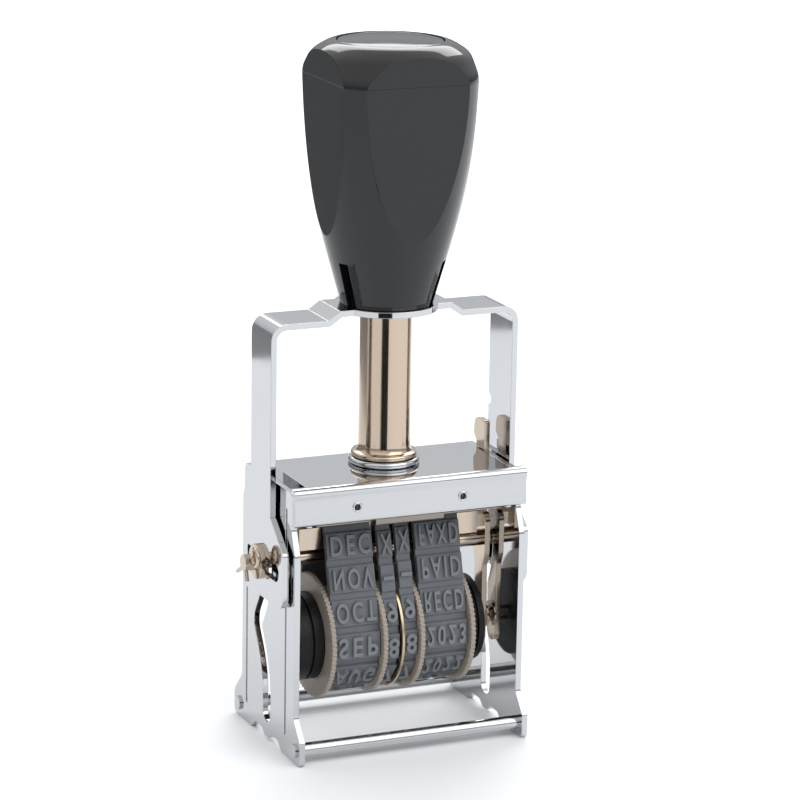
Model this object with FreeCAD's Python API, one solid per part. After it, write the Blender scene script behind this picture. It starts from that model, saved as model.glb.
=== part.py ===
import FreeCAD, Part
import math
import os

# Metal self-inking date stamp. Millimetres. +X runs along the cross rod to the right,
# -Y is the front, +Z is up, and the origin is the middle of the footprint on the desk.

V = FreeCAD.Vector
SIDES = (-1, 1)
X_AXIS = V(1, 0, 0)
Y_AXIS = V(0, 1, 0)
Z_AXIS = V(0, 0, 1)

# Pressed side plates
PLATE_T = 1.1
PLATE_OUT = 22.75
PLATE_IN = PLATE_OUT - PLATE_T
PLATE_TOP = 50.3
FOOT_Y = 16.5
FRONT_Y = -13.3
REAR_Y = 12.7
UPPER_FRONT_Y = -11.4

# Stroke, rod path and cam slot: the rod's middle makes one turn of radius CAM_R on the way down
ROD_Z = 34.6
STROKE = 26.5
CAM_R = 2.35
ROD_R = 1.5
SLOT_HALF = 1.95
SLOT_END_Z = 5.45
CAM_STEPS = 24

# Cross bars between the feet
BAR_Y = 14.1
BAR_Z = 2.5
BAR_R = 1.3
BAR_NECK_R = 1.0

# Cover, fascia and tube
COVER_TOP = 51.25
COVER_T = 0.9
COVER_HALF_X = 20.1
COVER_REAR_Y = 7.3
FASCIA_Y = -13.5
FASCIA_HALF_X = 22.9
FASCIA_LOW = 44.3
RIVET_X = (-10.7, 10.1)
RIVET_Z = 47.1
RIVET_R = 0.9
TUBE_R = 4.8
TUBE_BORE_R = 4.0
TUBE_TOP = 91.5
FLANGE_R = 6.25
FLANGE_TOP = 53.3

# Ink pad and its tray
TRAY_HALF_X = 17.8
TRAY_FRONT = -11.3
TRAY_REAR = 9.0
TRAY_LOW = 43.5
TRAY_TOP = 47.2
TRAY_WALL = 0.8
PAD_LOW = 42.9

# Latch lever in the gap beside the cover
LATCH_X = (20.4, 21.5)
LATCH_Y = 2.0
LATCH_Z = 48.0
LATCH_TOP = 56.9
LATCH_PIN_R = 1.0

# Bail, a bent strip
BAIL_T = 1.1
BAIL_OUT = 24.3
BAIL_IN = BAIL_OUT - BAIL_T
BAIL_HALF_Y = 4.85
BAIL_FLAT = 79.8
BAIL_RAISED = 81.4
BAIL_BEND = 3.0
BAIL_HOLE_R = 5.4
DISC_R = 9.5
BAIL_LOW = 28.2

# Handle
SEAM_Z = 122.6
HANDLE_TOP = 130.0
HANDLE_BORE_R = 6.3
HANDLE_BORE_TOP = 118.9
HANDLE_R = 16.3
FACET = 13.0
FACET_LEAN = -1.8
TOP_DISC_R = 9.8

# Print unit
FACE_H = 7.4
AXLE_Z = 19.4
AXLE_R = 1.5
FIT = 0.05
WHEEL_R = 11.6
HUB_R = 8.6
BAND_T = 1.2
BAND_R = 10.1
BAND_TOP_Y = 3.1
BAND_TOP_R = 1.5
ARM_X = (19.7, 20.7)
PLATEN_HALF_X = 17.8
DRUM_R = 8.1
TEETH = 80
TOOTH_R = 0.3

# name, flange x range, hub and band x range
WHEELS = (
    ("month", (-14.45, -13.6), (-13.5, -4.35)),
    ("tens", (-4.25, -3.4), (-3.3, -0.5)),
    ("units", (3.15, 4.0), (0.25, 3.05)),
    ("year", (13.3, 14.15), (4.1, 13.2)),
)

# Cotter pins through the rod's ends
COTTER_X = 26.35
COTTER_R = 0.4
COTTER_DIR = V(0, 6.3, -3.6).normalize()


def box(x0, x1, y0, y1, z0, z1):
    return Part.makeBox(x1 - x0, y1 - y0, z1 - z0, V(x0, y0, z0))


def rod_x(x0, x1, y, z, r):
    return Part.makeCylinder(r, x1 - x0, V(x0, y, z), X_AXIS)


def rod_y(y0, y1, x, z, r):
    return Part.makeCylinder(r, y1 - y0, V(x, y0, z), Y_AXIS)


def rod_z(z0, z1, r):
    return Part.makeCylinder(r, z1 - z0, V(0, 0, z0), Z_AXIS)


def span(side, low, high):
    """x range on one side, lowest first, from a range given for the right side."""
    return (low, high) if side > 0 else (-high, -low)


def mirrored(shape):
    return shape.mirror(V(0, 0, 0), X_AXIS)


def outline(x, points):
    """Closed wire in the plane at x through (y, z, corner radius) points."""
    count = len(points)
    edges = []
    ends = []
    for i, (y, z, r) in enumerate(points):
        here = V(x, y, z)
        before = (V(x, *points[i - 1][:2]) - here).normalize()
        after = (V(x, *points[(i + 1) % count][:2]) - here).normalize()
        half = before.getAngle(after) / 2
        back = r / math.tan(half)
        centre = here + (before + after).normalize() * (r / math.sin(half))
        middle = centre + (here - centre).normalize() * r
        ends.append((here + before * back, middle, here + after * back))
    for i, (start, middle, end) in enumerate(ends):
        edges.append(Part.Arc(start, middle, end).toShape())
        following = ends[(i + 1) % count][0]
        if following.distanceToPoint(end) > 1e-6:
            edges.append(Part.makeLine(end, following))
    return Part.Wire(edges)


def slab(x0, x1, points):
    """Plate between x0 and x1 with the outline of the (y, z, corner radius) points."""
    return Part.Face(outline(x0, points)).extrude(V(x1 - x0, 0, 0))


def cam_point(turn, offset):
    """Point of the rod's path at a share of the stroke, moved sideways by offset."""
    angle = 2 * math.pi * turn
    y = CAM_R * (1 - math.cos(angle))
    z = ROD_Z - STROKE * turn - CAM_R * math.sin(angle)
    dy = CAM_R * math.sin(angle) * 2 * math.pi
    dz = -STROKE - CAM_R * math.cos(angle) * 2 * math.pi
    length = math.hypot(dy, dz)
    return (y - offset * dz / length, z + offset * dy / length)


def front_cusp_turn():
    """Share of the stroke where the slot's front edge reaches the height of its bulge."""
    bulge_z = ROD_Z - STROKE / 2
    low, high = 0.2, 0.45
    for _ in range(40):
        middle = (low + high) / 2
        if cam_point(middle, -SLOT_HALF)[1] > bulge_z:
            low = middle
        else:
            high = middle
    return low


def cam_slot(x0, x1):
    """S-shaped slot that the rod follows, with round ends."""
    def curve(places):
        line = Part.BSplineCurve()
        line.interpolate([V(x0, y, z) for y, z in places])
        return line.toShape()

    bulge_z = ROD_Z - STROKE / 2
    cusp = front_cusp_turn()
    rear = [cam_point(i / CAM_STEPS, SLOT_HALF) for i in range(CAM_STEPS + 1)]
    upper = [cam_point(cusp * i / CAM_STEPS, -SLOT_HALF) for i in range(CAM_STEPS)]
    upper.append((cam_point(cusp, -SLOT_HALF)[0], bulge_z))
    lower = [(y, 2 * bulge_z - z) for y, z in reversed(upper)]
    rear_top, rear_end = V(x0, *rear[0]), V(x0, *rear[-1])
    front_top, front_end = V(x0, *upper[0]), V(x0, *lower[-1])
    rear_low = V(x0, rear_end.y, SLOT_END_Z)
    front_low = V(x0, front_end.y, SLOT_END_Z)
    edges = [
        curve(rear),
        Part.makeLine(rear_end, rear_low),
        Part.Arc(rear_low, V(x0, 0, SLOT_END_Z - SLOT_HALF), front_low).toShape(),
        Part.makeLine(front_low, front_end),
        curve(lower),
        curve(upper),
        Part.Arc(front_top, V(x0, 0, ROD_Z + SLOT_HALF), rear_top).toShape(),
    ]
    wire = Part.Wire(Part.__sortEdges__(edges))
    return Part.Face(wire).extrude(V(x1 - x0, 0, 0))


def right_plate_blank():
    points = [
        (-FOOT_Y, 0, 1.0),
        (-FOOT_Y, 4.6, 0.8),
        (FRONT_Y, 8.2, 1.5),
        (FRONT_Y, 38.8, 1.5),
        (UPPER_FRONT_Y, 43.4, 1.5),
        (UPPER_FRONT_Y, PLATE_TOP, 0.5),
        (11.9, PLATE_TOP, 1.6),
        (11.9, 45.4, 0.6),
        (REAR_Y, 43.6, 0.6),
        (REAR_Y, 8.6, 2.0),
        (FOOT_Y, 4.6, 2.4),
        (FOOT_Y, 0, 1.4),
        (7.6, 0, 0.8),
        (5.6, 1.7, 0.8),
        (2.3, 1.7, 0.6),
        (0.9, 0.5, 0.4),
        (-0.9, 0.5, 0.4),
        (-2.3, 1.7, 0.6),
        (-5.6, 1.7, 0.8),
        (-7.6, 0, 0.8),
    ]
    plate = slab(PLATE_IN, PLATE_OUT, points)
    plate = plate.cut(cam_slot(PLATE_IN - 1, PLATE_OUT + 1))
    plate = plate.cut(groove(-9.1, 3.8, 47.0))
    plate = plate.cut(groove(10.3, 3.8, 26.6))
    plate = plate.cut(rod_x(PLATE_IN - 1, PLATE_OUT + 1, 10.6, 40.2, 0.6))
    for y in (-BAR_Y, BAR_Y):
        plate = plate.cut(rod_x(PLATE_IN - 1, PLATE_OUT + 1, y, BAR_Z, BAR_NECK_R))
    return plate


def groove(y, z0, z1):
    """Pressed line in the plate's outer face."""
    half = 0.42
    depth = 0.4
    points = [(y - half, z0, 0.4), (y - half, z1, 0.4), (y + half, z1, 0.4), (y + half, z0, 0.4)]
    return slab(PLATE_OUT - depth, PLATE_OUT + 1, points)


def side_plates():
    blank = right_plate_blank()
    pin_hole = rod_x(PLATE_IN - 1, PLATE_OUT + 1, LATCH_Y, LATCH_Z, LATCH_PIN_R)
    return {"right_side_plate": blank.cut(pin_hole), "left_side_plate": mirrored(blank)}


def cross_bar(y):
    """Round bar with a neck in each plate and a peened head outside it."""
    head = 0.45
    bar = rod_x(-PLATE_IN, PLATE_IN, y, BAR_Z, BAR_R)
    bar = bar.fuse(rod_x(-PLATE_OUT, PLATE_OUT, y, BAR_Z, BAR_NECK_R))
    for side in SIDES:
        x0, x1 = span(side, PLATE_OUT, PLATE_OUT + head)
        bar = bar.fuse(rod_x(x0, x1, y, BAR_Z, BAR_R))
    return bar


def top_cover():
    """Flat top sheet with a front flange and two side channels that carry the ink tray."""
    under = COVER_TOP - COVER_T
    back_of_fascia = FASCIA_Y + COVER_T
    front = back_of_fascia
    rail_out = COVER_HALF_X
    rail_in = rail_out - COVER_T
    lip_low = 43.9
    lip_in = 18.2
    cover = box(-rail_out, rail_out, front, COVER_REAR_Y, under, COVER_TOP)
    cover = cover.fuse(box(-rail_out, rail_out, front, front + COVER_T, 45.2, under))
    for side in SIDES:
        x0, x1 = span(side, rail_in, rail_out)
        cover = cover.fuse(box(x0, x1, front, COVER_REAR_Y, lip_low, under))
        x0, x1 = span(side, lip_in, rail_out)
        cover = cover.fuse(box(x0, x1, front + COVER_T, COVER_REAR_Y, lip_low, lip_low + 0.8))
    for x in RIVET_X:
        cover = cover.cut(rod_y(front - 1, front + 2, x, RIVET_Z, RIVET_R + FIT))
    return cover.removeSplitter()


def front_fascia():
    """Pressed front strip with short returns that butt against the side plates."""
    low = FASCIA_LOW
    high = COVER_TOP + 0.05
    wall = box(-FASCIA_HALF_X, FASCIA_HALF_X, FASCIA_Y, FASCIA_Y + COVER_T, low, high)
    for side in SIDES:
        x0, x1 = span(side, FASCIA_HALF_X - COVER_T, FASCIA_HALF_X)
        wall = wall.fuse(box(x0, x1, FASCIA_Y, UPPER_FRONT_Y, low, PLATE_TOP))
    wall = wall.removeSplitter()
    front_edges = []
    for edge in wall.Edges:
        on_front = all(abs(v.Y - FASCIA_Y) < 1e-6 for v in edge.Vertexes)
        if on_front and edge.Length > 5:
            front_edges.append(edge)
    wall = wall.makeFillet(0.7, front_edges)
    for x in RIVET_X:
        wall = wall.cut(rod_y(FASCIA_Y - 1, FASCIA_Y + 2, x, RIVET_Z, RIVET_R + FIT))
    return wall


def fascia_rivets():
    """Eyelet rivets through the fascia and the cover's flange."""
    back = FASCIA_Y + 2 * COVER_T
    rivets = []
    for x in RIVET_X:
        rivet = rod_y(FASCIA_Y - 0.35, back + 0.3, x, RIVET_Z, RIVET_R)
        rivet = rivet.fuse(rod_y(FASCIA_Y - 0.35, FASCIA_Y, x, RIVET_Z, 1.25))
        rivet = rivet.fuse(rod_y(back, back + 0.3, x, RIVET_Z, 1.25))
        rivet = rivet.cut(rod_y(FASCIA_Y - 1, back + 1, x, RIVET_Z, 0.65))
        rivets.append(rivet)
    return Part.makeCompound(rivets)


def spring_tube():
    """Guide tube with a rolled flange on the cover."""
    neck_r = 5.15
    neck_top = FLANGE_TOP + 1.3
    flange = rod_z(COVER_TOP, FLANGE_TOP, FLANGE_R)
    flange = flange.makeFillet(0.8, [e for e in flange.Edges if abs(e.BoundBox.ZMin - FLANGE_TOP) < 1e-6])
    neck = Part.makeCone(neck_r, TUBE_R, neck_top - FLANGE_TOP, V(0, 0, FLANGE_TOP), Z_AXIS)
    tube = flange.fuse(neck).fuse(rod_z(COVER_TOP, TUBE_TOP, TUBE_R))
    return tube.cut(rod_z(COVER_TOP - 1, TUBE_TOP + 1, TUBE_BORE_R))


def return_spring():
    """Compression spring inside the tube, up to the roof of the handle's bore."""
    wire_r = 0.55
    coil_r = 3.1
    low = COVER_TOP + 0.1 + wire_r
    height = HANDLE_BORE_TOP - 0.1 - wire_r - low
    turns = 15
    helix = Part.makeHelix(height / turns, height, coil_r)
    helix.translate(V(0, 0, low))
    start = V(coil_r, 0, low)
    profile = Part.Wire(Part.makeCircle(wire_r, start, Y_AXIS))
    return Part.Wire(helix).makePipeShell([profile], True, True)


def ink_pad_tray():
    """Pan that holds the pad face down, with runners and a finger tab at the front."""
    roof = TRAY_TOP - TRAY_WALL
    inner = TRAY_HALF_X - TRAY_WALL
    tray = box(-TRAY_HALF_X, TRAY_HALF_X, TRAY_FRONT, TRAY_REAR, TRAY_LOW, TRAY_TOP)
    hollow = box(-inner, inner, TRAY_FRONT + TRAY_WALL, TRAY_REAR - TRAY_WALL, TRAY_LOW - 1, roof)
    tray = tray.cut(hollow)
    for side in SIDES:
        x0, x1 = span(side, TRAY_HALF_X, 18.8)
        tray = tray.fuse(box(x0, x1, TRAY_FRONT, TRAY_REAR - 2.5, 45.0, 45.8))
    return tray.fuse(finger_lip()).removeSplitter()


def finger_lip():
    """Turned-up lip under the fascia, with a rolled lower edge."""
    half_x = 6.7
    low = PAD_LOW
    front = TRAY_FRONT - 1.2
    lip = box(-half_x, half_x, front, front + 0.7, low, 45.0)
    lip = lip.fuse(box(-half_x, half_x, front, TRAY_FRONT + TRAY_WALL, low, TRAY_LOW + 0.1))
    lip = lip.removeSplitter()
    rolled = []
    for edge in lip.Edges:
        if all(abs(v.Y - front) < 1e-6 and abs(v.Z - low) < 1e-6 for v in edge.Vertexes):
            rolled.append(edge)
    return lip.makeFillet(0.55, rolled)


def ink_pad():
    gap = 0.1
    half_x = TRAY_HALF_X - TRAY_WALL - gap
    y0 = TRAY_FRONT + TRAY_WALL + gap
    y1 = TRAY_REAR - TRAY_WALL - gap
    return box(-half_x, half_x, y0, y1, PAD_LOW, TRAY_TOP - TRAY_WALL)


def latch_lever():
    """Upright lever whose head bulges to the rear, on a pin in the right plate."""
    points = [
        (0.3, 46.2, 1.4),
        (0.3, LATCH_TOP, 0.5),
        (4.6, LATCH_TOP, 1.6),
        (5.0, 53.6, 1.0),
        (3.7, 52.4, 0.6),
        (3.7, 46.2, 1.4),
    ]
    lever = slab(LATCH_X[0], LATCH_X[1], points)
    return lever.cut(rod_x(LATCH_X[0] - 1, LATCH_X[1] + 1, LATCH_Y, LATCH_Z, LATCH_PIN_R + FIT))


def latch_pivot_pin():
    return rod_x(LATCH_X[0] - 0.1, PLATE_OUT, LATCH_Y, LATCH_Z, LATCH_PIN_R)


def bail():
    """Strip over the top, raised disc for the handle, and a wide lower plate on each arm."""
    step_out = 13.4
    step_in = 11.0
    raised_under = BAIL_RAISED - BAIL_T
    flat_under = BAIL_FLAT - BAIL_T
    arm_low = 42.0
    half = [
        (0, BAIL_RAISED),
        (step_in, BAIL_RAISED),
        (step_out, BAIL_FLAT),
        (BAIL_OUT, BAIL_FLAT),
        (BAIL_OUT, arm_low),
        (BAIL_IN, arm_low),
        (BAIL_IN, flat_under),
        (step_out - 0.35, flat_under),
        (step_in - 0.35, raised_under),
        (0, raised_under),
    ]
    points = [V(x, -BAIL_HALF_Y, z) for x, z in half]
    arm = Part.Face(Part.makePolygon(points + points[:1])).extrude(V(0, 2 * BAIL_HALF_Y, 0))
    bends = {(BAIL_OUT, BAIL_FLAT): BAIL_BEND, (BAIL_IN, flat_under): BAIL_BEND - BAIL_T}
    for (x, z), radius in bends.items():
        edges = [e for e in arm.Edges if is_cross_edge(e, x, z)]
        arm = arm.makeFillet(radius, edges)
    arm = arm.fuse(lower_plate()).cut(bail_window())
    strip = arm.fuse(mirrored(arm)).fuse(rod_z(raised_under, BAIL_RAISED, DISC_R))
    strip = strip.cut(rod_z(raised_under - 1, BAIL_RAISED + 1, BAIL_HOLE_R))
    notch = rod_x(BAIL_IN - 1, BAIL_OUT + 1, BAIL_HALF_Y + 0.1, 60.0, 1.15)
    return strip.cut(notch).removeSplitter()


def is_cross_edge(edge, x, z):
    return all(abs(v.X - x) < 1e-6 and abs(v.Z - z) < 1e-6 for v in edge.Vertexes)


def lower_plate():
    points = [
        (-BAIL_HALF_Y, 44.2, 0.4),
        (-11.5, 38.9, 1.2),
        (-11.5, BAIL_LOW, 2.8),
        (7.4, BAIL_LOW, 1.5),
        (7.4, 41.6, 1.5),
        (BAIL_HALF_Y, 43.8, 0.4),
    ]
    return slab(BAIL_IN, BAIL_OUT, points)


def bail_window():
    """Slot in which the real rod shifts to and fro while the plates' cam slot guides it."""
    half = ROD_R + 0.15
    points = [
        (-9.3, ROD_Z - half, half - 0.02),
        (-9.3, ROD_Z + half, half - 0.02),
        (6.3, ROD_Z + half, 0.6),
        (6.3, ROD_Z - half, 0.6),
    ]
    return slab(BAIL_IN - 1, BAIL_OUT + 1, points)


def smooth_profile(rows):
    """Curve through (height, radius) rows, for turning about the handle's axis."""
    curve = Part.BSplineCurve()
    curve.interpolate([V(r, 0, z) for z, r in rows])
    return curve.toShape()


def facets():
    """What lies outside the four flat faces, which lean in towards the handle's base."""
    beyond = 20
    cutters = []
    for quarter in range(4):
        block = box(-30, 30, FACET, FACET + beyond, 60, 150)
        block.rotate(V(0, FACET, SEAM_Z), X_AXIS, FACET_LEAN)
        block.rotate(V(0, 0, 0), Z_AXIS, 90 * quarter)
        cutters.append(block)
    return cutters


def handle_body():
    """Grip up to the seam, bored for the guide tube, with three latching slots at its base."""
    base = BAIL_RAISED + 0.05
    base_r = 8.5
    rows = (
        (base, base_r),
        (88.9, 10.6),
        (96.3, 12.6),
        (103.6, 14.2),
        (111.0, 15.4),
        (118.3, 16.1),
        (SEAM_Z, HANDLE_R),
    )
    edges = [
        Part.makeLine(V(0, 0, base), V(base_r, 0, base)),
        smooth_profile(rows),
        Part.makeLine(V(HANDLE_R, 0, SEAM_Z), V(0, 0, SEAM_Z)),
        Part.makeLine(V(0, 0, SEAM_Z), V(0, 0, base)),
    ]
    body = Part.Face(Part.Wire(edges)).revolve(V(0, 0, 0), Z_AXIS, 360)
    body = body.cut(rod_z(base - 1, HANDLE_BORE_TOP, HANDLE_BORE_R)).cut(facets())
    for azimuth in (-70, 50, 170):
        slot = box(-1.2, 1.2, -20, -7.2, base - 1, base + 8.3)
        slot.rotate(V(0, 0, 0), Z_AXIS, azimuth)
        body = body.cut(slot)
    return body


def handle_upper_shell():
    """Cap above the seam, with a rounded shoulder and a seat for the top disc."""
    low = SEAM_Z + 0.05
    rim = 129.3
    rows = (
        (low, HANDLE_R),
        (124.1, 15.95),
        (125.5, 15.2),
        (127.0, 14.3),
        (128.1, 12.9),
        (128.9, 11.4),
        (rim, TOP_DISC_R),
    )
    edges = [
        Part.makeLine(V(0, 0, low), V(HANDLE_R, 0, low)),
        smooth_profile(rows),
        Part.makeLine(V(TOP_DISC_R, 0, rim), V(0, 0, rim)),
        Part.makeLine(V(0, 0, rim), V(0, 0, low)),
    ]
    shell = Part.Face(Part.Wire(edges)).revolve(V(0, 0, 0), Z_AXIS, 360)
    return shell.cut(rod_z(127.0, 140, TOP_DISC_R - 0.02)).cut(facets())


def handle_top_disc():
    """Slightly domed insert."""
    radius = TOP_DISC_R - 0.1
    dome = 0.7
    ball_r = (radius ** 2 + dome ** 2) / (2 * dome)
    ball = Part.makeSphere(ball_r, V(0, 0, HANDLE_TOP - ball_r))
    return rod_z(127.05, HANDLE_TOP + 1, radius).common(ball)


def rod_end_pins():
    """Ends of the cross rod, outside the side plates."""
    pins = []
    for side in SIDES:
        x0, x1 = span(side, BAIL_IN, 27.6)
        pin = rod_x(x0, x1, 0, ROD_Z, ROD_R)
        shank = cotter_shank(side, 0.5)
        pins.append(pin.cut(shank))
    return Part.makeCompound(pins)


def rod_washers():
    washers = []
    for side in SIDES:
        x0, x1 = span(side, BAIL_OUT, BAIL_OUT + 0.9)
        washer = rod_x(x0, x1, 0, ROD_Z, 3.25)
        washers.append(washer.cut(rod_x(x0 - 1, x1 + 1, 0, ROD_Z, ROD_R + FIT)))
    return Part.makeCompound(washers)


def cotter_shank(side, radius):
    start = V(side * COTTER_X, 0, ROD_Z) - COTTER_DIR * 2.4
    return Part.makeCylinder(radius, 9.2, start, COTTER_DIR)


def cotter_pins():
    """Round eye in front of the rod, one straight leg behind it and one bent down."""
    eye_r = 1.5
    cotters = []
    for side in SIDES:
        middle = V(side * COTTER_X, 0, ROD_Z)
        eye = Part.makeTorus(eye_r, COTTER_R, middle - COTTER_DIR * (2.0 + eye_r), X_AXIS)
        knee = middle + COTTER_DIR * 2.3
        bent = Part.makeCylinder(COTTER_R, 3.0, knee, V(0, -0.35, -1))
        joint = Part.makeSphere(COTTER_R, knee)
        cotters.append(eye.fuse(cotter_shank(side, COTTER_R)).fuse(bent).fuse(joint))
    return Part.makeCompound(cotters)


def cross_rod():
    end = 22.95
    return rod_x(-end, end, 0, ROD_Z, ROD_R)


def rotor_arm(side):
    """Side plate of the print unit, from the platen bar to the wheel axle."""
    points = [
        (-1.7, 14.2, 1.6),
        (-1.7, 29.5, 2.0),
        (-2.6, 32.0, 1.5),
        (-2.6, 40.0, 1.8),
        (2.6, 40.0, 1.8),
        (2.6, 32.0, 1.5),
        (1.7, 29.5, 2.0),
        (1.7, 14.2, 1.6),
    ]
    x0, x1 = span(side, *ARM_X)
    arm = slab(x0, x1, points)
    arm = arm.cut(rod_x(x0 - 1, x1 + 1, 0, ROD_Z, ROD_R + FIT))
    return arm.cut(rod_x(x0 - 1, x1 + 1, 0, AXLE_Z, AXLE_R + FIT))


def platen_bar():
    """Bar under the type, with a narrow neck to each arm."""
    top = ROD_Z + FACE_H - BAND_T - 0.05
    bar = box(-PLATEN_HALF_X, PLATEN_HALF_X, -3.0, 3.0, 36.6, top)
    return bar.fuse(box(-ARM_X[0], ARM_X[0], -1.6, 1.6, 37.2, 39.6)).removeSplitter()


def wheel_axle():
    end = ARM_X[1] + 0.5
    axle = rod_x(-end, end, 0, AXLE_Z, AXLE_R)
    for side in SIDES:
        x0, x1 = span(side, end, end + 0.25)
        axle = axle.fuse(rod_x(x0, x1, 0, AXLE_Z, 1.0))
    return axle


def axle_clips():
    clips = []
    for side in SIDES:
        x0, x1 = span(side, ARM_X[1], ARM_X[1] + 0.4)
        clip = rod_x(x0, x1, 0, AXLE_Z, 2.4)
        clips.append(clip.cut(rod_x(x0 - 1, x1 + 1, 0, AXLE_Z, AXLE_R + FIT)))
    return Part.makeCompound(clips)


def drum(x0, x1):
    """Black spacer beside the wheels, with a turned groove."""
    body = rod_x(x0, x1, 0, AXLE_Z, DRUM_R)
    middle = (x0 + x1) / 2
    ring = rod_x(middle, middle + 0.5, 0, AXLE_Z, DRUM_R + 1)
    ring = ring.cut(rod_x(middle - 1, middle + 1.5, 0, AXLE_Z, DRUM_R - 0.6))
    return body.cut(ring).cut(rod_x(x0 - 1, x1 + 1, 0, AXLE_Z, AXLE_R + FIT))


def wheel(flange, hub):
    """Toothed setting wheel with the hub that its band runs on."""
    body = rod_x(flange[0], flange[1], 0, AXLE_Z, WHEEL_R)
    body = body.fuse(rod_x(min(flange[0], hub[0]), max(flange[1], hub[1]), 0, AXLE_Z, HUB_R))
    body = body.cut(rod_x(-30, 30, 0, AXLE_Z, AXLE_R + FIT))
    gaps = []
    for i in range(TEETH):
        angle = 2 * math.pi * i / TEETH
        y = WHEEL_R * math.cos(angle)
        z = AXLE_Z + WHEEL_R * math.sin(angle)
        gaps.append(rod_x(flange[0] - 0.5, flange[1] + 0.5, y, z, TOOTH_R))
    return body.cut(Part.makeCompound(gaps))


def belt(x, circles):
    """Closed wire round the (y, z, r) circles, taken anticlockwise seen from +X."""
    count = len(circles)
    ends = []
    for i, (y0, z0, r0) in enumerate(circles):
        y1, z1, r1 = circles[(i + 1) % count]
        heading = math.atan2(z1 - z0, y1 - y0)
        lean = math.acos((r0 - r1) / math.hypot(y1 - y0, z1 - z0))
        ends.append(heading - lean)
    edges = []
    for i, (y, z, r) in enumerate(circles):
        first = ends[i - 1]
        last = ends[i]
        while last < first:
            last += 2 * math.pi
        places = [first, (first + last) / 2, last]
        a, b, c = (V(x, y + r * math.cos(t), z + r * math.sin(t)) for t in places)
        edges.append(Part.Arc(a, b, c).toShape())
        y1, z1, r1 = circles[(i + 1) % count]
        following = V(x, y1 + r1 * math.cos(ends[i]), z1 + r1 * math.sin(ends[i]))
        edges.append(Part.makeLine(c, following))
    return Part.Wire(edges)


def band(x0, x1):
    """Rubber type loop round the wheel's hub and over the platen bar."""
    top = ROD_Z + FACE_H - BAND_TOP_R

    def loop(inset):
        return [
            (0, AXLE_Z, BAND_R - inset),
            (BAND_TOP_Y, top, BAND_TOP_R - inset),
            (-BAND_TOP_Y, top, BAND_TOP_R - inset),
        ]

    length = V(x1 - x0, 0, 0)
    outer = Part.Face(belt(x0, loop(0))).extrude(length)
    inner = Part.Face(belt(x0, loop(BAND_T))).extrude(length)
    return outer.cut(inner)


def divider_disc():
    disc = rod_x(-0.35, 0.1, 0, AXLE_Z, 11.0)
    return disc.cut(rod_x(-2, 1, 0, AXLE_Z, AXLE_R + FIT))


def all_nodes():
    nodes = dict(side_plates())
    nodes["front_cross_bar"] = cross_bar(-BAR_Y)
    nodes["rear_cross_bar"] = cross_bar(BAR_Y)
    nodes["top_cover"] = top_cover()
    nodes["front_fascia"] = front_fascia()
    nodes["fascia_rivets"] = fascia_rivets()
    nodes["spring_tube"] = spring_tube()
    nodes["return_spring"] = return_spring()
    nodes["ink_pad_tray"] = ink_pad_tray()
    nodes["ink_pad"] = ink_pad()
    nodes["latch_lever"] = latch_lever()
    nodes["latch_pivot_pin"] = latch_pivot_pin()
    nodes["bail"] = bail()
    nodes["handle_body"] = handle_body()
    nodes["handle_upper_shell"] = handle_upper_shell()
    nodes["handle_top_disc"] = handle_top_disc()
    nodes["rod_end_pins"] = rod_end_pins()
    nodes["rod_washers"] = rod_washers()
    nodes["cotter_pins"] = cotter_pins()
    nodes["cross_rod"] = cross_rod()
    nodes["rotor_left_arm"] = rotor_arm(-1)
    nodes["rotor_right_arm"] = rotor_arm(1)
    nodes["platen_bar"] = platen_bar()
    nodes["wheel_axle"] = wheel_axle()
    nodes["axle_clips"] = axle_clips()
    nodes["left_spacer_drum"] = drum(-19.3, -14.55)
    nodes["right_spacer_drum"] = drum(14.25, 17.6)
    nodes["divider_disc"] = divider_disc()
    for name, flange, hub in WHEELS:
        nodes[name + "_wheel"] = wheel(flange, hub)
        nodes[name + "_band"] = band(hub[0] + 0.05, hub[1] - 0.05)
    return nodes


os.makedirs("parts", exist_ok=True)
for node, shape in all_nodes().items():
    shape.exportStep("parts/" + node + ".step")
    box_now = shape.BoundBox
    print(node, len(shape.Solids), shape.isValid(), round(shape.Volume, 1), box_now)
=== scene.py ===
import math
import bpy
from mathutils import Matrix, Quaternion, Vector


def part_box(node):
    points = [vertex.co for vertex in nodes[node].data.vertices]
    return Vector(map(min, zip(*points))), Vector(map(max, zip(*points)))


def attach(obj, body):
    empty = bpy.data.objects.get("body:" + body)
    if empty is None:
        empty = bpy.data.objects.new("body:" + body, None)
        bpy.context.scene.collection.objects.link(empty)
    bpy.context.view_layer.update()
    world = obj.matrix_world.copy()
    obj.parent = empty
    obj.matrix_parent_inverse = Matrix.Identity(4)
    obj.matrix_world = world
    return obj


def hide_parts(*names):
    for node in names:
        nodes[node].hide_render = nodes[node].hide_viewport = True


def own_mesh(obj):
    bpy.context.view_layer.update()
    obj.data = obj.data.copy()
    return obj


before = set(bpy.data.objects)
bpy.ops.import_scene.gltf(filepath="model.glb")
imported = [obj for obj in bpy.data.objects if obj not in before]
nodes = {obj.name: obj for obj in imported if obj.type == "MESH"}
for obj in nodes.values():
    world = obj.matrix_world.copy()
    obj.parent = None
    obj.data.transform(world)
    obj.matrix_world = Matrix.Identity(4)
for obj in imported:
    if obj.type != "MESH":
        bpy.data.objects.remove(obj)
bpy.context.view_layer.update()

MM = 0.001
MONTHS = ("JAN", "DEC", "NOV", "OCT", "SEP", "AUG", "JUL", "JUN", "MAY", "APR", "MAR", "FEB", "-")
FIGURES = ("0", "X", "-", "9", "8", "7", "6", "5", "4", "3", "2", "1")
YEARS = (
    "ANSD", "FAXD", "PAID", "RECD", "2023", "2022", "2021", "2020", "2028", "2027", "2026", "2025", "2024")
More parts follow.
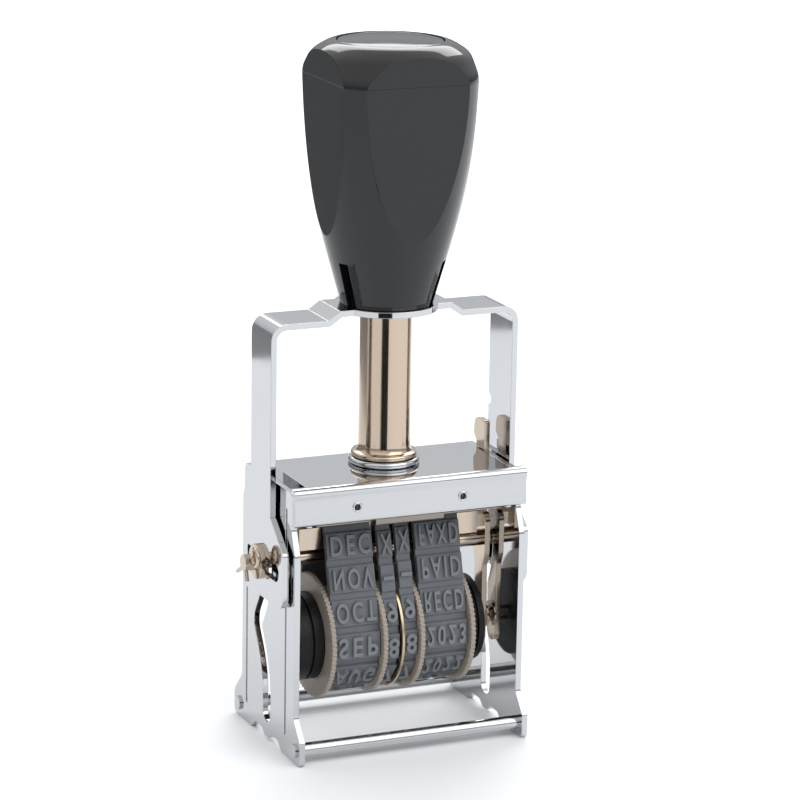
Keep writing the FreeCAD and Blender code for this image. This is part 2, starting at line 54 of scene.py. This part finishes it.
# band, distance from the middle of the platen to the first line below it (mm), line pitch (mm), lines
BAND_LAYOUT = (
    ("month", 7.9, 6.17, MONTHS),
    ("tens", 8.4, 6.3, FIGURES),
    ("units", 8.0, 6.3, FIGURES),
    ("year", 7.6, 6.17, YEARS),
)


# ---------------------------------------------------------------- colours and materials

# The span in which nearly all of a noise texture's values lie, and the least roughness of any finish
NOISE_LOW, NOISE_HIGH = 0.3, 0.7
SMOOTHEST = 0.02
# Places of the colour sockets on a Mix node
MIX_COLOUR_A, MIX_COLOUR_B, MIX_COLOUR_OUT = 6, 7, 2


def linear(code):
    """Linear RGBA from an sRGB hex colour."""
    channels = [int(code[i:i + 2], 16) / 255 for i in (1, 3, 5)]
    return [c / 12.92 if c <= 0.04045 else ((c + 0.055) / 1.055) ** 2.4 for c in channels] + [1.0]


def add(tree, kind, links=None, **values):
    """One node, with its inputs set or linked by name or place and its settings by attribute."""
    node = tree.nodes.new("ShaderNode" + kind)
    for name, value in values.items():
        setattr(node, name, value)
    for socket, source in (links or {}).items():
        target = node.inputs[socket]
        if isinstance(source, bpy.types.NodeSocket):
            tree.links.new(source, target)
        else:
            target.default_value = source
    return node


def per_mm(size):
    """Scale of a pattern on metre coordinates whose feature is this many millimetres."""
    return 1 / (size * MM)


def finish(name, colour, metallic, roughness, rough_spread, rough_size, bump=0.0, bump_size=1.0,
           edge=0.0, stretch=(1, 1, 1), ior=1.5, tint=None, tint_size=1.0, gloss_level=0.5):
    """Principled material: uneven gloss, fine relief, worn-in tint, rounded edges. Sizes are in mm."""
    material = bpy.data.materials.new(name)
    material.use_nodes = True
    tree = material.node_tree
    tree.nodes.clear()
    shader = add(tree, "BsdfPrincipled", {
        "Base Color": linear(colour), "Metallic": metallic, "Roughness": roughness, "IOR": ior,
        "Specular IOR Level": gloss_level,
    })
    place = add(tree, "TexCoord").outputs["Object"]
    place = add(tree, "Mapping", {"Vector": place, "Scale": stretch}).outputs["Vector"]
    cloud = add(tree, "TexNoise", {"Vector": place, "Scale": per_mm(rough_size), "Detail": 3.0})
    gloss = add(tree, "MapRange", {
        "Value": cloud.outputs["Fac"], "From Min": NOISE_LOW, "From Max": NOISE_HIGH,
        "To Min": max(roughness - rough_spread, SMOOTHEST), "To Max": roughness + rough_spread,
    })
    tree.links.new(gloss.outputs["Result"], shader.inputs["Roughness"])
    if tint:
        patch = add(tree, "TexNoise", {"Vector": place, "Scale": per_mm(tint_size), "Detail": 4.0})
        blend = add(tree, "Mix", data_type="RGBA")
        tree.links.new(patch.outputs["Fac"], blend.inputs["Factor"])
        blend.inputs[MIX_COLOUR_A].default_value = linear(colour)
        blend.inputs[MIX_COLOUR_B].default_value = linear(tint)
        tree.links.new(blend.outputs[MIX_COLOUR_OUT], shader.inputs["Base Color"])
    normal = None
    if edge:
        normal = add(tree, "Bevel", {"Radius": edge * MM}, samples=6).outputs["Normal"]
    if bump:
        relief = add(tree, "TexNoise", {"Vector": place, "Scale": per_mm(bump_size), "Detail": 2.0})
        bumped = add(tree, "Bump", {
            "Height": relief.outputs["Fac"], "Strength": 1.0, "Distance": bump * MM,
        })
        if normal:
            tree.links.new(normal, bumped.inputs["Normal"])
        normal = bumped.outputs["Normal"]
    if normal:
        tree.links.new(normal, shader.inputs["Normal"])
    end = add(tree, "OutputMaterial")
    tree.links.new(shader.outputs[0], end.inputs["Surface"])
    return material


# Pressed steel, bright nickel under decorative chrome: a cool mirror with faint rolling waves
chrome = finish(
    "chromed_steel_sheet", "#C6C7C9", 1.0, 0.06, 0.02, 9.0, bump=0.006, bump_size=14.0, edge=0.18)
# The same plating over lengthways rolling marks, on the front strip
chrome_brushed = finish(
    "chromed_rolled_strip", "#C2C3C5", 1.0, 0.13, 0.05, 0.8, bump=0.004, bump_size=0.5, edge=0.15,
    stretch=(0.03, 1, 1))
# Drawn steel tube, nickel plated without chrome: warm, with fine lengthways draw lines
tube_nickel = finish(
    "nickel_plated_tube", "#C3B19F", 1.0, 0.12, 0.04, 1.2, bump=0.002, bump_size=0.8, edge=0.15,
    stretch=(1, 1, 0.04))
# Bright nickel on turned and stamped small parts
nickel = finish("bright_nickel", "#C2B3A3", 1.0, 0.17, 0.05, 2.0, bump=0.002, bump_size=1.0, edge=0.12)
# Thin nickel strike on the tray: duller, greyer and less even
tray_nickel = finish(
    "dull_tray_nickel", "#8D867E", 1.0, 0.24, 0.06, 3.0, bump=0.003, bump_size=1.2, edge=0.15)
# Patented spring wire, zinc dipped
spring_zinc = finish("zinc_spring_wire", "#A9ADB2", 1.0, 0.3, 0.08, 1.5, bump=0.002, bump_size=0.5)
# Injection moulded ABS in a polished tool: deep gloss with a trace of moulding ripple
black_abs = finish(
    "polished_black_abs", "#141517", 0.0, 0.09, 0.03, 12.0, bump=0.002, bump_size=9.0, edge=0.12,
    ior=1.54, gloss_level=0.42)
# Turned acetal drums: matt black
black_acetal = finish(
    "turned_black_acetal", "#131314", 0.0, 0.5, 0.08, 0.6, bump=0.01, bump_size=0.35, edge=0.12,
    ior=1.48, gloss_level=0.3)
# Rolled brass shim
brass = finish(
    "rolled_brass", "#C2AE92", 1.0, 0.26, 0.07, 1.5, bump=0.002, bump_size=0.6, stretch=(1, 1, 0.1))
# Vulcanised grey rubber: matt, with a dusty bloom
rubber = finish(
    "grey_vulcanised_rubber", "#606367", 0.0, 0.6, 0.08, 1.5, bump=0.012, bump_size=0.25, edge=0.08,
    ior=1.52, tint="#6B6E72", tint_size=3.0, gloss_level=0.4)
# The same rubber made a little lighter for the raised type: a painted highlight that stands in for the
# light falling on the letters
painted_highlight_rubber = finish(
    "type_rubber_with_painted_highlight", "#74777B", 0.0, 0.55, 0.08, 1.0, bump=0.008, bump_size=0.2, edge=0.1, ior=1.52,
    gloss_level=0.4)
# Moulded nylon, slightly grey-beige and waxy
nylon = finish(
    "natural_nylon", "#9C9186", 0.0, 0.42, 0.08, 1.2, bump=0.006, bump_size=0.3, edge=0.1, ior=1.53,
    tint="#ABA095", tint_size=2.5)
# Pressed wool felt soaked in black ink: no shine, and a fibre relief that is coarse enough to show
felt = finish(
    "inked_wool_felt", "#17171B", 0.0, 0.85, 0.1, 0.4, bump=0.08, bump_size=0.18, ior=1.45,
    tint="#24242A", tint_size=0.5)
# Studio cards, one of flocked black board and one of mid grey board
black_velvet = finish("black_velvet_card", "#08080A", 0.0, 0.9, 0.05, 20.0)
grey_card = finish("grey_card", "#8A8B8D", 0.0, 0.9, 0.05, 20.0)
# Painted board under the stamp: white with an even, matt face
white_board = finish("matt_white_board", "#F2F4F6", 0.0, 0.6, 0.05, 30.0)

SKINS = {
    chrome: ("left_side_plate", "right_side_plate", "front_cross_bar", "rear_cross_bar", "top_cover",
             "front_fascia", "fascia_rivets", "bail"),
    tube_nickel: ("spring_tube",),
    nickel: ("latch_lever", "latch_pivot_pin", "rod_end_pins", "rod_washers", "cotter_pins", "cross_rod",
             "rotor_left_arm", "rotor_right_arm", "platen_bar", "wheel_axle", "axle_clips"),
    tray_nickel: ("ink_pad_tray",),
    spring_zinc: ("return_spring",),
    black_abs: ("handle_body", "handle_upper_shell", "handle_top_disc"),
    black_acetal: ("left_spacer_drum", "right_spacer_drum"),
    brass: ("divider_disc",),
    rubber: ("month_band", "tens_band", "units_band", "year_band"),
    nylon: ("month_wheel", "tens_wheel", "units_wheel", "year_wheel"),
    felt: ("ink_pad",),
}


def clothe(piece, material):
    """Gives the whole piece one material."""
    piece.data.materials.clear()
    piece.data.materials.append(material)


for skin, names in SKINS.items():
    for name in names:
        clothe(nodes[name], skin)


# ---------------------------------------------------------------- modelling helpers

def deselect():
    """Leaves no object selected."""
    bpy.ops.object.select_all(action="DESELECT")


def pick(piece):
    """Selects one object and nothing else."""
    deselect()
    piece.select_set(True)
    bpy.context.view_layer.objects.active = piece


def settle(piece):
    """Applies the object's place, turn and size to its mesh."""
    pick(piece)
    bpy.ops.object.transform_apply(location=True, rotation=True, scale=True)
    return piece


def edit_all(piece, *steps):
    """Runs edit-mode steps with everything selected."""
    pick(piece)
    bpy.ops.object.mode_set(mode="EDIT")
    bpy.ops.mesh.select_all(action="SELECT")
    for step in steps:
        step()
    bpy.ops.object.mode_set(mode="OBJECT")


def outward():
    """Turns the selected faces to point outwards."""
    bpy.ops.mesh.normals_make_consistent(inside=False)


def apply_modifier(piece, kind, **settings):
    """Adds a modifier with its settings and applies it."""
    pick(piece)
    modifier = piece.modifiers.new(kind.lower(), kind)
    for name, value in settings.items():
        setattr(modifier, name, value)
    bpy.ops.object.modifier_apply(modifier=modifier.name)


def smooth(angle):
    """Smooth shading on the selected piece, except over edges sharper than this many degrees."""
    bpy.ops.object.shade_smooth_by_angle(angle=math.radians(angle))


def drop_faces(piece, unwanted):
    """Deletes the faces for which unwanted(face) is true."""
    pick(piece)
    bpy.ops.object.mode_set(mode="EDIT")
    bpy.ops.mesh.select_mode(type="FACE")
    bpy.ops.mesh.select_all(action="DESELECT")
    bpy.ops.object.mode_set(mode="OBJECT")
    for face in piece.data.polygons:
        face.select = unwanted(face)
    bpy.ops.object.mode_set(mode="EDIT")
    bpy.ops.mesh.delete(type="FACE")
    bpy.ops.object.mode_set(mode="OBJECT")


def new_piece(name, points, edges, faces):
    """Object made from a drawn outline, before it is spun or extruded."""
    mesh = bpy.data.meshes.new(name)
    mesh.from_pydata(points, edges, faces)
    piece = bpy.data.objects.new(name, mesh)
    bpy.context.scene.collection.objects.link(piece)
    return piece


def block(low, high, rounding, segments=2):
    """Box between two corners with rounded edges."""
    low, high = Vector(low), Vector(high)
    deselect()
    bpy.ops.mesh.primitive_cube_add(size=1, location=(low + high) / 2, scale=high - low)
    piece = settle(bpy.context.object)
    apply_modifier(piece, "BEVEL", width=rounding, segments=segments, limit_method="NONE")
    return piece


def join(name, pieces):
    """Makes several pieces one, under a name."""
    deselect()
    for piece in pieces:
        piece.select_set(True)
    bpy.context.view_layer.objects.active = pieces[0]
    bpy.ops.object.join()
    whole = bpy.context.object
    whole.name = name
    whole.data.name = name
    return settle(whole)


def adopt(piece, slot, body, *stands_for):
    """Attaches the piece to its body and hides the CAD nodes that it stands for. The slot is not used."""
    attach(piece, body)
    if stands_for:
        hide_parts(*stands_for)


# ---------------------------------------------------------------- type bands

AXLE = Vector((0, 0, sum(v.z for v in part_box("wheel_axle")) / 2))
ACROSS = Vector((1, 0, 0))
# The belt: wall, radius round the wheels, and radius and half spread of its two corners on the platen
BELT_WALL = 0.75 * MM
BELT_R = 9.65 * MM
TOP_ROUND = 1.05 * MM
TOP_HALF = 3.1 * MM
# The rubber block under each line: height, how far it rises, how deep it is rooted, and its edge radius
BLOCK_HEIGHT = 4.9 * MM
BLOCK_RISE = 0.45 * MM
BLOCK_ROOT = 0.3 * MM
BLOCK_EDGE = 0.12 * MM
# The type: height of a line and of a dash, how far it rises and how deep it is rooted
TYPE_HEIGHT = 3.8 * MM
DASH_HEIGHT = 0.7 * MM
TYPE_RISE = 0.6 * MM
TYPE_ROOT = 0.15 * MM
# Letter weight and spacing, as shares of the letter size
TYPE_WEIGHT = 0.022
TYPE_SPACING = 1.35
# Widths: a dash on a wide band, what words leave of the band's width, and what a single figure leaves
WIDE_BAND = 4 * MM
DASH_WIDTH = 2.4 * MM
WORD_MARGIN = 1.3 * MM
FIGURE_MARGIN = 0.55 * MM


def belt_circles(top):
    """Centres and radii that the belt's outer face runs round, starting with the axle."""
    return (
        (AXLE, BELT_R),
        (Vector((0, TOP_HALF, top)), TOP_ROUND),
        (Vector((0, -TOP_HALF, top)), TOP_ROUND),
    )


def belt_loop(x0, x1, circles):
    """Thin closed belt: the hull of three drums, opened at its ends and given a wall."""
    drums = []
    for centre, radius in circles:
        deselect()
        bpy.ops.mesh.primitive_cylinder_add(
            vertices=96, radius=radius, depth=x1 - x0,
            location=((x0 + x1) / 2, centre.y, centre.z), rotation=(0, math.pi / 2, 0))
        drums.append(settle(bpy.context.object))
    belt = join("belt", drums)
    edit_all(belt, bpy.ops.mesh.convex_hull, bpy.ops.mesh.remove_doubles, outward)
    drop_faces(belt, lambda face: abs(face.normal.dot(ACROSS)) > 0.9)
    apply_modifier(belt, "SOLIDIFY", thickness=BELT_WALL, offset=-1, use_even_offset=True)
    smooth(40)
    return belt


def belt_place(distance, circles):
    """Point and outward direction on the belt, a distance down the front from the middle of the top.
    The belt runs along the flat top, round the front corner, straight down to the wheel and round it."""
    (axle, big), _, (corner, small) = circles
    span = axle - corner
    lean = math.acos((small - big) / span.length)
    heading = math.atan2(span.z, span.y)
    upward = math.pi / 2
    downward = 1.5 * math.pi
    front = (heading - lean) % (2 * math.pi)
    flat = -corner.y
    arc = small * (front - upward)
    straight = math.sqrt(span.length ** 2 - (big - small) ** 2)
    around = big * 2 * (downward - front)
    length = 2 * (flat + arc + straight) + around
    distance = distance % length
    if distance > length / 2:
        point, normal = belt_place(length - distance, circles)
        return Vector((0, -point.y, point.z)), Vector((0, -normal.y, normal.z))
    if distance < flat:
        return Vector((0, -distance, corner.z + small)), Vector((0, 0, 1))
    distance -= flat
    if distance < arc:
        angle = upward + distance / small
        normal = Vector((0, math.cos(angle), math.sin(angle)))
        return corner + normal * small, normal
    distance -= arc
    normal = Vector((0, math.cos(front), math.sin(front)))
    if distance < straight:
        down = Vector((0, -normal.z, normal.y))
        return corner + normal * small + down * distance, normal
    distance -= straight
    angle = front + distance / big
    normal = Vector((0, math.cos(angle), math.sin(angle)))
    return axle + normal * big, normal


def type_line(words, width):
    """Raised line of type, mirrored top to bottom, in its own plane with its root just under zero."""
    deselect()
    bpy.ops.object.text_add()
    text = bpy.context.object
    text.data.body = words
    text.data.align_x = "CENTER"
    text.data.offset = TYPE_WEIGHT
    text.data.extrude = 0.5
    text.data.resolution_u = 4
    if len(words) > 1:
        text.data.space_character = TYPE_SPACING
    bpy.ops.object.convert(target="MESH")
    text = bpy.context.object
    low = Vector(text.bound_box[0])
    high = Vector(text.bound_box[6])
    size = high - low
    tall = DASH_HEIGHT if words == "-" else TYPE_HEIGHT
    text.data.transform(Matrix.Translation(-(low + high) / 2))
    text.scale = (width / size.x, -tall / size.y, (TYPE_RISE + TYPE_ROOT) / size.z)
    text.location = (0, 0, (TYPE_RISE - TYPE_ROOT) / 2)
    settle(text)
    edit_all(text, bpy.ops.mesh.remove_doubles, outward)
    return text


def stand(piece, x, point, normal):
    """Puts a flat piece on the belt: its own Z outward, its own Y up the front."""
    turn = Matrix((ACROSS, normal.cross(ACROSS), normal)).transposed().to_4x4()
    piece.matrix_world = Matrix.Translation((x, point.y, point.z)) @ turn
    return settle(piece)


def type_width(words, width):
    """Loosely spaced words fill the block; a single figure leaves a narrow margin."""
    if words == "-" and width > WIDE_BAND:
        return DASH_WIDTH
    return width - (WORD_MARGIN if len(words) > 1 else FIGURE_MARGIN)


def type_band(name, first, pitch, lines):
    """Belt with a block and a line of type at each station. The first line lies on the platen."""
    low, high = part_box(name + "_band")
    middle = (low.x + high.x) / 2
    width = high.x - low.x
    circles = belt_circles(high.z - BLOCK_RISE - TOP_ROUND)
    pieces = [belt_loop(low.x, high.x, circles)]
    clothe(pieces[0], rubber)
    for i, words in enumerate(lines):
        distance = (first + (i - 1) * pitch) * MM if i else 0.0
        point, normal = belt_place(distance, circles)
        base = block(
            (-width / 2, -BLOCK_HEIGHT / 2, -BLOCK_ROOT),
            (width / 2, BLOCK_HEIGHT / 2, BLOCK_RISE), BLOCK_EDGE)
        clothe(base, rubber)
        pieces.append(stand(base, middle, point, normal))
        line = type_line(words, type_width(words, width))
        # The type takes the lighter rubber, a painted highlight on the letters
        clothe(line, painted_highlight_rubber)
        pieces.append(stand(line, middle, point + normal * BLOCK_RISE, normal))
    band = join("type_band_" + name, pieces)
    adopt(band, "band_rubber", "print_unit", name + "_band")


for name, first, pitch, lines in BAND_LAYOUT:
    type_band(name, first, pitch, lines)


# ---------------------------------------------------------------- ink pad

FIBRE_SIZE = 0.6 * MM
FIBRE_RISE = 0.08 * MM


def felt_pad():
    """Stiff felt block in the tray: rounded edges and an uneven, fibrous face."""
    low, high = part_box("ink_pad")
    inset = Vector((0.05, 0.05, 0.05)) * MM
    pad = block(low + inset, high - inset, 0.5 * MM, segments=3)
    pad.name = "felt_ink_pad"
    edit_all(pad, lambda: bpy.ops.mesh.subdivide(number_cuts=6))
    fibres = bpy.data.textures.new("felt_fibres", "CLOUDS")
    fibres.noise_scale = FIBRE_SIZE
    apply_modifier(
        pad, "DISPLACE", texture=fibres, strength=FIBRE_RISE, mid_level=0.5, texture_coords="LOCAL")
    clothe(pad, felt)
    adopt(pad, "pad_felt", "ink_tray", "ink_pad")


felt_pad()


# ---------------------------------------------------------------- turned pieces, fascia and spring

MERGE = 0.001 * MM
SPIN_STEPS = 128
# Guide tube: bore, outside and the chamfer at its top (mm)
TUBE_BORE_R = 4.0
TUBE_R = 4.8
TUBE_CHAMFER = 0.15
# How the tube widens towards its foot: radius, and height over the cover (mm)
FLARE = ((TUBE_R, 3.9), (4.86, 3.3), (4.98, 2.8), (5.2, 2.45))
NECK = ((5.5, 1.2), (5.4, 0.9), (5.4, 0.0))
# The rolled bead at the flare's end, and the seat ring under it: radius of its middle, height over the
# cover, radius of its section (mm)
BEAD = (5.6, 1.82, 0.54)
SEAT_RING = (5.98, 0.64, 0.62)
# Fascia's section: share of the height from the bottom, and how far the skin stands back (mm)
FASCIA_SKIN = (
    (0.0, 0.5), (0.03, 0.24), (0.07, 0.13), (0.12, 0.13), (0.2, 0.18), (0.33, 0.25), (0.48, 0.32),
    (0.64, 0.35), (0.72, 0.3), (0.78, 0.12), (0.84, 0.0), (0.9, 0.06), (0.95, 0.28), (0.985, 0.6),
    (1.0, 1.0))
# How far back its wall and its top flange reach, the flange's thickness and the edge radii
FASCIA_BACK = 0.9 * MM
FASCIA_TOP_BACK = 1.9 * MM
FASCIA_SHEET = 0.85 * MM
FASCIA_EDGE = 0.3 * MM
RETURN_EDGE = 0.2 * MM
# Eyelets: half the width of one, the hole drilled for it, and how far its rim is set back
EYELET_HALF = 1.25 * MM
EYELET_DRILL_R = 0.8 * MM
EYELET_SEAT = 0.3 * MM
# Radii of its bore, of its shank, of the middle of its rolled rim and of its edge (mm)
EYELET_BORE_R, EYELET_SHANK_R, EYELET_RIM_R, EYELET_EDGE_R = 0.56, 0.78, 0.77, 0.98
# Handle insert: edge radius, how far its rim lies under the dome's top, and the dome's own rise (mm)
INSERT_EDGE = 0.45
INSERT_DROP = 0.7
INSERT_DOME = 0.72
DOME_STEPS = 8
# Return spring: radius of the wire and of the coil, and the number of turns
WIRE_R = 0.55 * MM
COIL_R = 3.1 * MM
COIL_TURNS = 15


def turned(name, rows):
    """Closed ring of (radius, height) rows in mm, spun about the stamp's upright axis."""
    count = len(rows)
    piece = new_piece(
        name, [(r * MM, 0, z * MM) for r, z in rows], [(i, (i + 1) % count) for i in range(count)], [])
    edit_all(piece, lambda: bpy.ops.mesh.spin(
        steps=SPIN_STEPS, angle=2 * math.pi, center=(0, 0, 0), axis=(0, 0, 1)))
    edit_all(piece, lambda: bpy.ops.mesh.remove_doubles(threshold=MERGE), outward)
    smooth(38)
    return piece


def rounded_rows(centre_r, centre_z, radius, first, last, steps=8):
    """Rows along an arc, by its angles in degrees."""
    rows = []
    for i in range(steps + 1):
        turn = math.radians(first + (last - first) * i / steps)
        rows.append((centre_r + radius * math.cos(turn), centre_z + radius * math.sin(turn)))
    return rows


def guide_tube():
    """Drawn tube with a flared and rolled foot, on a chromed ring."""
    low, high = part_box("spring_tube")
    cover = low.z / MM
    top = high.z / MM
    rows = [(TUBE_BORE_R, cover), (TUBE_BORE_R, top - TUBE_CHAMFER), (TUBE_BORE_R + TUBE_CHAMFER, top),
            (TUBE_R - TUBE_CHAMFER, top), (TUBE_R, top - TUBE_CHAMFER)]
    rows += [(radius, cover + rise) for radius, rise in FLARE]
    radius, rise, thickness = BEAD
    rows += rounded_rows(radius, cover + rise, thickness, 75, -75)
    rows += [(radius, cover + rise) for radius, rise in NECK]
    tube = turned("flared_guide_tube", rows)
    clothe(tube, tube_nickel)
    adopt(tube, "nickel", "frame", "spring_tube")
    radius, rise, thickness = SEAT_RING
    ring = turned("tube_seat_ring", rounded_rows(radius, cover + rise, thickness, 0, 345, 23))
    clothe(ring, chrome)
    adopt(ring, "chrome_sheet", "frame")


def eyelet_places():
    """Middles of the two eyelets, across and up."""
    low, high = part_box("fascia_rivets")
    up = (low.z + high.z) / 2
    return (low.x + EYELET_HALF, up), (high.x - EYELET_HALF, up)


def drill(piece, x, y, z):
    """Cuts an eyelet's hole through the piece from front to back."""
    deselect()
    bpy.ops.mesh.primitive_cylinder_add(
        vertices=32, radius=EYELET_DRILL_R, depth=12 * MM, location=(x, y, z),
        rotation=(math.pi / 2, 0, 0))
    bit = settle(bpy.context.object)
    apply_modifier(piece, "BOOLEAN", object=bit, operation="DIFFERENCE", solver="EXACT")
    bpy.data.objects.remove(bit)


def rolled_fascia():
    """Front strip: rolled top edge, a shallow channel along its face, a turned lip and returned ends."""
    low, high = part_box("front_fascia")
    outline = [(low.y + back * MM, low.z + share * (high.z - low.z)) for share, back in FASCIA_SKIN]
    outline += [
        (low.y + FASCIA_TOP_BACK, high.z), (low.y + FASCIA_TOP_BACK, high.z - FASCIA_SHEET),
        (low.y + FASCIA_BACK, high.z - FASCIA_SHEET), (low.y + FASCIA_BACK, low.z)]
    points = [(low.x, y, z) for y, z in outline]
    fascia = new_piece("rolled_fascia", points, [], [list(range(len(points)))])
    reach = (high.x - low.x, 0, 0)
    edit_all(fascia, lambda: bpy.ops.mesh.extrude_region_move(TRANSFORM_OT_translate={"value": reach}))
    edit_all(fascia, lambda: bpy.ops.mesh.remove_doubles(threshold=MERGE), outward)
    for x, z in eyelet_places():
        drill(fascia, x, low.y, z)
    apply_modifier(
        fascia, "BEVEL", width=FASCIA_EDGE, segments=3, limit_method="ANGLE", angle_limit=math.radians(60))
    smooth(50)
    apply_modifier(fascia, "WEIGHTED_NORMAL", keep_sharp=True)
    returns = []
    for side in (-1, 1):
        inner, outer = sorted((side * (high.x - FASCIA_BACK), side * high.x))
        returns.append(block(
            (inner, low.y + 0.6 * MM, low.z), (outer, high.y, high.z - 1.0 * MM), RETURN_EDGE))
    fascia = join("rolled_fascia", [fascia] + returns)
    clothe(fascia, chrome_brushed)
    adopt(fascia, "chrome_sheet", "frame", "front_fascia")


def eyelets():
    """Two hollow rivets: a rolled rim on the fascia and an open bore."""
    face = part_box("front_fascia")[0].y + EYELET_SEAT
    depth = (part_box("fascia_rivets")[1].y - face) / MM
    rims = []
    for x, z in eyelet_places():
        rows = [(EYELET_BORE_R, -depth), (EYELET_BORE_R, 0.02)]
        rows += rounded_rows(EYELET_RIM_R, 0.02, EYELET_RIM_R - EYELET_BORE_R, 180, 0)
        rows += [(EYELET_EDGE_R, -0.1), (EYELET_SHANK_R, -0.1), (EYELET_SHANK_R, -depth)]
        rim = turned("eyelet", rows)
        rim.rotation_euler.x = math.pi / 2
        rim.location = (x, face, z)
        rims.append(settle(rim))
    rims = join("eyelet_rims", rims)
    clothe(rims, chrome)
    adopt(rims, "chrome_sheet", "frame", "fascia_rivets")


def handle_insert():
    """Domed round insert with a rounded rim, so that a dark seam shows round it."""
    low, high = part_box("handle_top_disc")
    foot = low.z / MM
    top = high.z / MM
    radius = high.x / MM
    rim = top - INSERT_DROP
    rows = [(0.0, foot), (radius, foot), (radius, rim - 0.55)]
    rows += rounded_rows(radius - INSERT_EDGE, rim - 0.5, INSERT_EDGE, 0, 80, 6)
    for i in range(1, DOME_STEPS + 1):
        share = 1 - i / DOME_STEPS
        rows.append(((radius - 0.5) * share, top - INSERT_DOME * share ** 2))
    insert = turned("handle_insert", rows)
    clothe(insert, black_abs)
    adopt(insert, "black_plastic", "bail_and_handle", "handle_top_disc")


def coil_spring():
    """Return spring: a closed coil of wire, carried whole with the handle."""
    low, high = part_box("return_spring")
    length = high.z - low.z
    deselect()
    bpy.ops.mesh.primitive_circle_add(
        vertices=10, radius=WIRE_R, location=(COIL_R, 0, low.z + WIRE_R), rotation=(math.pi / 2, 0, 0))
    spring = settle(bpy.context.object)
    spring.name = "coil_spring"
    apply_modifier(
        spring, "SCREW", angle=2 * math.pi, screw_offset=(length - 2 * WIRE_R) / COIL_TURNS,
        iterations=COIL_TURNS, steps=28, render_steps=28)
    edit_all(spring, lambda: bpy.ops.mesh.fill_holes(sides=0), outward)
    smooth(50)
    clothe(spring, spring_zinc)
    adopt(spring, "spring_wire", "bail_and_handle", "return_spring")
    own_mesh(spring)


guide_tube()
coil_spring()
rolled_fascia()
eyelets()
handle_insert()


# ---------------------------------------------------------------- floor, light, camera

# Sky: height of the direction, and the grey there
SKY = ((0.0, "#8C8F94"), (0.27, "#DCDEE1"), (0.62, "#FFFFFF"))
SKY_STRENGTH = 1.05
# Camera: the point it looks at (mm), its direction from there (degrees), distance (mm), lens and shift
PIVOT = (0, 0, 60)
AZIMUTH, ELEVATION, ROLL = -23.39, 14.83, 0.94
DISTANCE = 657.8
LENS = 161.6
SHIFT = (0.0194, 0.0186)


def floor():
    """Pale board, a hair under the feet."""
    deselect()
    bpy.ops.mesh.primitive_plane_add(size=6, location=(0, 0, -0.02 * MM))
    ground = bpy.context.object
    ground.name = "floor"
    clothe(ground, white_board)


def area(name, place, size, power, target):
    """Soft rectangular light, aimed at a point."""
    light = bpy.data.lights.new(name, "AREA")
    light.shape = "RECTANGLE"
    light.size, light.size_y = size
    light.energy = power
    lamp = bpy.data.objects.new(name, light)
    bpy.context.scene.collection.objects.link(lamp)
    lamp.location = place
    lamp.rotation_euler = (Vector(target) - Vector(place)).to_track_quat("-Z", "Y").to_euler()


def studio():
    """White overhead light that falls off to grey near the horizon, as a studio ceiling bank does."""
    world = bpy.data.worlds.new("studio")
    bpy.context.scene.world = world
    world.use_nodes = True
    tree = world.node_tree
    tree.nodes.clear()
    direction = add(tree, "TexCoord").outputs["Generated"]
    parts = add(tree, "SeparateXYZ", {"Vector": direction})
    ramp = add(tree, "ValToRGB", {"Fac": parts.outputs["Z"]})
    steps = ramp.color_ramp.elements
    steps.new(0.5)
    for step, (height, grey) in zip(steps, SKY):
        step.position = height
        step.color = linear(grey)
    sky = add(tree, "Background", {"Color": ramp.outputs["Color"], "Strength": SKY_STRENGTH})
    end = add(tree, "OutputWorld")
    tree.links.new(sky.outputs[0], end.inputs["Surface"])
    area("key_softbox", (0.55, -0.85, 0.9), (1.3, 1.1), 6, (0.15, -0.2, 0))
    area("rear_softbox", (0.5, 1.0, 0.9), (1.2, 0.6), 8, (0.2, 0.3, 0))
    # The plain sRGB curve keeps white board white and black plastic black
    bpy.context.scene.view_settings.view_transform = "Standard"


def flag(name, card_finish, radius, height, first, last):
    """Low curved card between two bearings (mm and degrees). It is seen only in gloss, and gives shiny
    upright faces their dark accents."""
    deselect()
    bpy.ops.mesh.primitive_circle_add(vertices=72, radius=radius * MM, location=(0, 0, 0.5 * MM))
    card = settle(bpy.context.object)
    card.name = name
    rise = (0, 0, height * MM)
    edit_all(
        card, lambda: bpy.ops.mesh.select_mode(type="EDGE"),
        lambda: bpy.ops.mesh.select_all(action="SELECT"),
        lambda: bpy.ops.mesh.extrude_region_move(TRANSFORM_OT_translate={"value": rise}))

    def outside(face):
        bearing = math.degrees(math.atan2(face.center.y, face.center.x)) % 360
        return not first <= bearing <= last

    drop_faces(card, outside)
    clothe(card, card_finish)
    card.visible_camera = False
    card.visible_diffuse = False
    card.visible_shadow = False


def camera():
    """Long lens, a little above the stamp and to its left."""
    azimuth = math.radians(AZIMUTH)
    elevation = math.radians(ELEVATION)
    level = math.cos(elevation)
    away = Vector((math.sin(azimuth) * level, -math.cos(azimuth) * level, math.sin(elevation)))
    lens = bpy.data.cameras.new("camera")
    lens.lens = LENS
    lens.sensor_width = 36
    lens.shift_x, lens.shift_y = SHIFT
    lens.clip_start = 0.02
    eye = bpy.data.objects.new("camera", lens)
    bpy.context.scene.collection.objects.link(eye)
    eye.location = (Vector(PIVOT) + away * DISTANCE) * MM
    eye.rotation_mode = "QUATERNION"
    roll = Quaternion((0, 0, 1), math.radians(ROLL))
    eye.rotation_quaternion = (-away).to_track_quat("-Z", "Y") @ roll
    bpy.context.scene.camera = eye


floor()
studio()
flag("front_flag", black_velvet, 185, 66, 232, 262)
flag("left_flag", grey_card, 300, 120, 90, 165)
camera()
